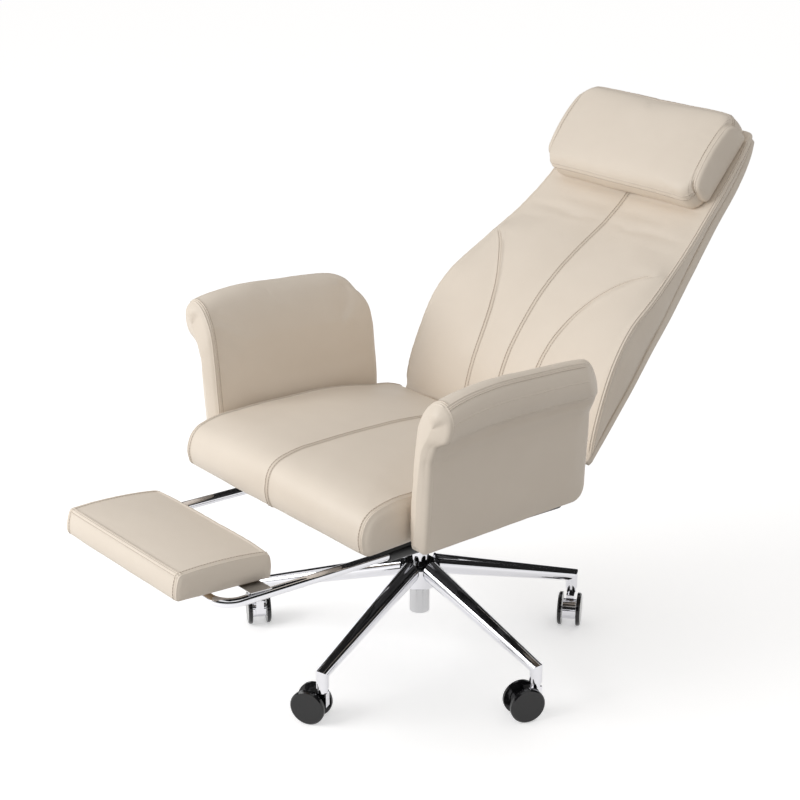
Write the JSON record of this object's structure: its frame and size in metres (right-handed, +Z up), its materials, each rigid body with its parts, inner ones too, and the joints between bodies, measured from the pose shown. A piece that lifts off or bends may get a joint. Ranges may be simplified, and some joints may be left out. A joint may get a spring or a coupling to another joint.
{
  "type": "reclining office chair with footrest",
  "caption": "Padded reclining swivel chair with rolled arms and head pillow on a five-star caster base, with a footrest that slides out from under the seat.",
  "frame": {"origin": "on the floor, under the axis of the column", "axes": "+Z up; +Y towards the back of the chair, which faces -Y; +X towards the left of a person sitting in it"},
  "size_m": [0.7, 1.2979, 0.9753],
  "materials": {
    "leather": "smooth ivory leather",
    "chrome": "polished",
    "black_plastic": "satin black",
    "black_steel": "black powder coat",
    "bare_steel": "brushed",
    "plywood": "plain plywood"
  },
  "bodies": {
    "base": {"base_hub": "chrome", "column_tube": "chrome", "column_bush": "black_plastic", "base_leg_1": "chrome", "base_leg_2": "chrome", "base_leg_3": "chrome", "base_leg_4": "chrome", "base_leg_5": "chrome"},
    "lift": {"gas_piston": "chrome"},
    "seat": {"mechanism_housing": "black_steel", "taper_socket": "black_steel", "recline_pin": "bare_steel", "seat_plate": "black_steel", "seat_pan": "plywood", "seat_cushion": "leather", "arm_left": "leather", "arm_right": "leather", "rail_guide_left": "black_steel", "rail_guide_right": "black_steel", "arm_strap_left_front": "black_steel", "arm_strap_left_rear": "black_steel", "arm_strap_right_front": "black_steel", "arm_strap_right_rear": "black_steel"},
    "back": {"back_cushion": "leather", "back_panel": "leather", "headrest_pillow": "leather", "back_mount_plate": "black_steel", "back_bracket_left": "black_steel", "back_bracket_right": "black_steel"},
    "footrest_slider": {"footrest_frame": "chrome"},
    "footrest_pad_group": {"footrest_pad": "leather", "footrest_board": "plywood", "footrest_clamp_left": "chrome", "footrest_clamp_right": "chrome", "footrest_rest_left": "chrome", "footrest_rest_right": "chrome"},
    "height_lever": {"height_lever_rod": "bare_steel", "height_lever_grip": "black_plastic"},
    "recline_lever": {"recline_lever_rod": "bare_steel", "recline_lever_grip": "black_plastic"},
    "caster_1": {"caster_1_hood": "chrome", "caster_1_pins": "chrome"},
    "caster_1_wheel_left": {"caster_1_wheel_left": "black_plastic"},
    "caster_1_wheel_right": {"caster_1_wheel_right": "black_plastic"},
    "caster_2": {"caster_2_hood": "chrome", "caster_2_pins": "chrome"},
    "caster_2_wheel_left": {"caster_2_wheel_left": "black_plastic"},
    "caster_2_wheel_right": {"caster_2_wheel_right": "black_plastic"},
    "caster_3": {"caster_3_hood": "chrome", "caster_3_pins": "chrome"},
    "caster_3_wheel_left": {"caster_3_wheel_left": "black_plastic"},
    "caster_3_wheel_right": {"caster_3_wheel_right": "black_plastic"},
    "caster_4": {"caster_4_hood": "chrome", "caster_4_pins": "chrome"},
    "caster_4_wheel_left": {"caster_4_wheel_left": "black_plastic"},
    "caster_4_wheel_right": {"caster_4_wheel_right": "black_plastic"},
    "caster_5": {"caster_5_hood": "chrome", "caster_5_pins": "chrome"},
    "caster_5_wheel_left": {"caster_5_wheel_left": "black_plastic"},
    "caster_5_wheel_right": {"caster_5_wheel_right": "black_plastic"}
  },
  "joints": [
    {"name": "seat_height", "type": "slide", "parent": "base", "child": "lift", "axis": [0, 0, 1], "range_m": [-0.04, 0.04]},
    {"name": "seat_swivel", "type": "hinge", "parent": "lift", "child": "seat", "pos_m": [0, 0, 0.3], "axis": [0, 0, 1], "continuous": true},
    {"name": "back_recline", "type": "hinge", "parent": "seat", "child": "back", "pos_m": [0, 0.16, 0.352], "axis": [1, 0, 0], "range_deg": [0, 32]},
    {"name": "footrest_slide", "type": "slide", "parent": "seat", "child": "footrest_slider", "axis": [0, 0.9988, -0.0489], "range_m": [0, 0.3]},
    {"name": "footrest_flip", "type": "hinge", "parent": "footrest_slider", "child": "footrest_pad_group", "pos_m": [0, -0.56978, 0.35379], "axis": [1, 0, 0], "range_deg": [0, 180]},
    {"name": "height_lever_lift", "type": "hinge", "parent": "seat", "child": "height_lever", "pos_m": [-0.066, -0.062, 0.306], "axis": [0, 1, 0], "range_deg": [0, 8], "stiffness_Nm_per_rad": 2},
    {"name": "recline_lever_lift", "type": "hinge", "parent": "seat", "child": "recline_lever", "pos_m": [-0.066, 0.066, 0.306], "axis": [0, 1, 0], "range_deg": [0, 8], "stiffness_Nm_per_rad": 2},
    {"name": "caster_1_swivel", "type": "hinge", "parent": "base", "child": "caster_1", "pos_m": [0.09431, -0.30579, 0.07], "axis": [0, 0, 1], "continuous": true},
    {"name": "caster_1_wheel_left_roll", "type": "hinge", "parent": "caster_1", "child": "caster_1_wheel_left", "pos_m": [0.07488, -0.31612, 0.0325], "axis": [0.4695, -0.8829, 0], "continuous": true},
    {"name": "caster_1_wheel_right_roll", "type": "hinge", "parent": "caster_1", "child": "caster_1_wheel_right", "pos_m": [0.07488, -0.31612, 0.0325], "axis": [0.4695, -0.8829, 0], "continuous": true},
    {"name": "caster_2_swivel", "type": "hinge", "parent": "base", "child": "caster_2", "pos_m": [0.31996, -0.0048, 0.07], "axis": [0, 0, 1], "continuous": true},
    {"name": "caster_2_wheel_left_roll", "type": "hinge", "parent": "caster_2", "child": "caster_2_wheel_left", "pos_m": [0.31208, -0.02534, 0.0325], "axis": [0.9336, -0.3584, 0], "continuous": true},
    {"name": "caster_2_wheel_right_roll", "type": "hinge", "parent": "caster_2", "child": "caster_2_wheel_right", "pos_m": [0.31208, -0.02534, 0.0325], "axis": [0.9336, -0.3584, 0], "continuous": true},
    {"name": "caster_3_swivel", "type": "hinge", "parent": "base", "child": "caster_3", "pos_m": [0.10344, 0.30282, 0.07], "axis": [0, 0, 1], "continuous": true},
    {"name": "caster_3_wheel_left_roll", "type": "hinge", "parent": "caster_3", "child": "caster_3_wheel_left", "pos_m": [0.11729, 0.28572, 0.0325], "axis": [0.7771, 0.6293, 0], "continuous": true},
    {"name": "caster_3_wheel_right_roll", "type": "hinge", "parent": "caster_3", "child": "caster_3_wheel_right", "pos_m": [0.11729, 0.28572, 0.0325], "axis": [0.7771, 0.6293, 0], "continuous": true},
    {"name": "caster_4_swivel", "type": "hinge", "parent": "base", "child": "caster_4", "pos_m": [-0.25603, 0.19196, 0.07], "axis": [0, 0, 1], "continuous": true},
    {"name": "caster_4_wheel_left_roll", "type": "hinge", "parent": "caster_4", "child": "caster_4_wheel_left", "pos_m": [-0.26703, 0.21101, 0.0325], "axis": [-0.866, -0.5, 0], "continuous": true},
    {"name": "caster_4_wheel_right_roll", "type": "hinge", "parent": "caster_4", "child": "caster_4_wheel_right", "pos_m": [-0.26703, 0.21101, 0.0325], "axis": [-0.866, -0.5, 0], "continuous": true},
    {"name": "caster_5_swivel", "type": "hinge", "parent": "base", "child": "caster_5", "pos_m": [-0.26168, -0.18418, 0.07], "axis": [0, 0, 1], "continuous": true},
    {"name": "caster_5_wheel_left_roll", "type": "hinge", "parent": "caster_5", "child": "caster_5_wheel_left", "pos_m": [-0.28092, -0.17352, 0.0325], "axis": [-0.4848, -0.8746, 0], "continuous": true},
    {"name": "caster_5_wheel_right_roll", "type": "hinge", "parent": "caster_5", "child": "caster_5_wheel_right", "pos_m": [-0.28092, -0.17352, 0.0325], "axis": [-0.4848, -0.8746, 0], "continuous": true}
  ],
  "couplings": [
    {"joint": "footrest_flip", "follows": "footrest_slide", "rad_per_m": 10.472}
  ]
}
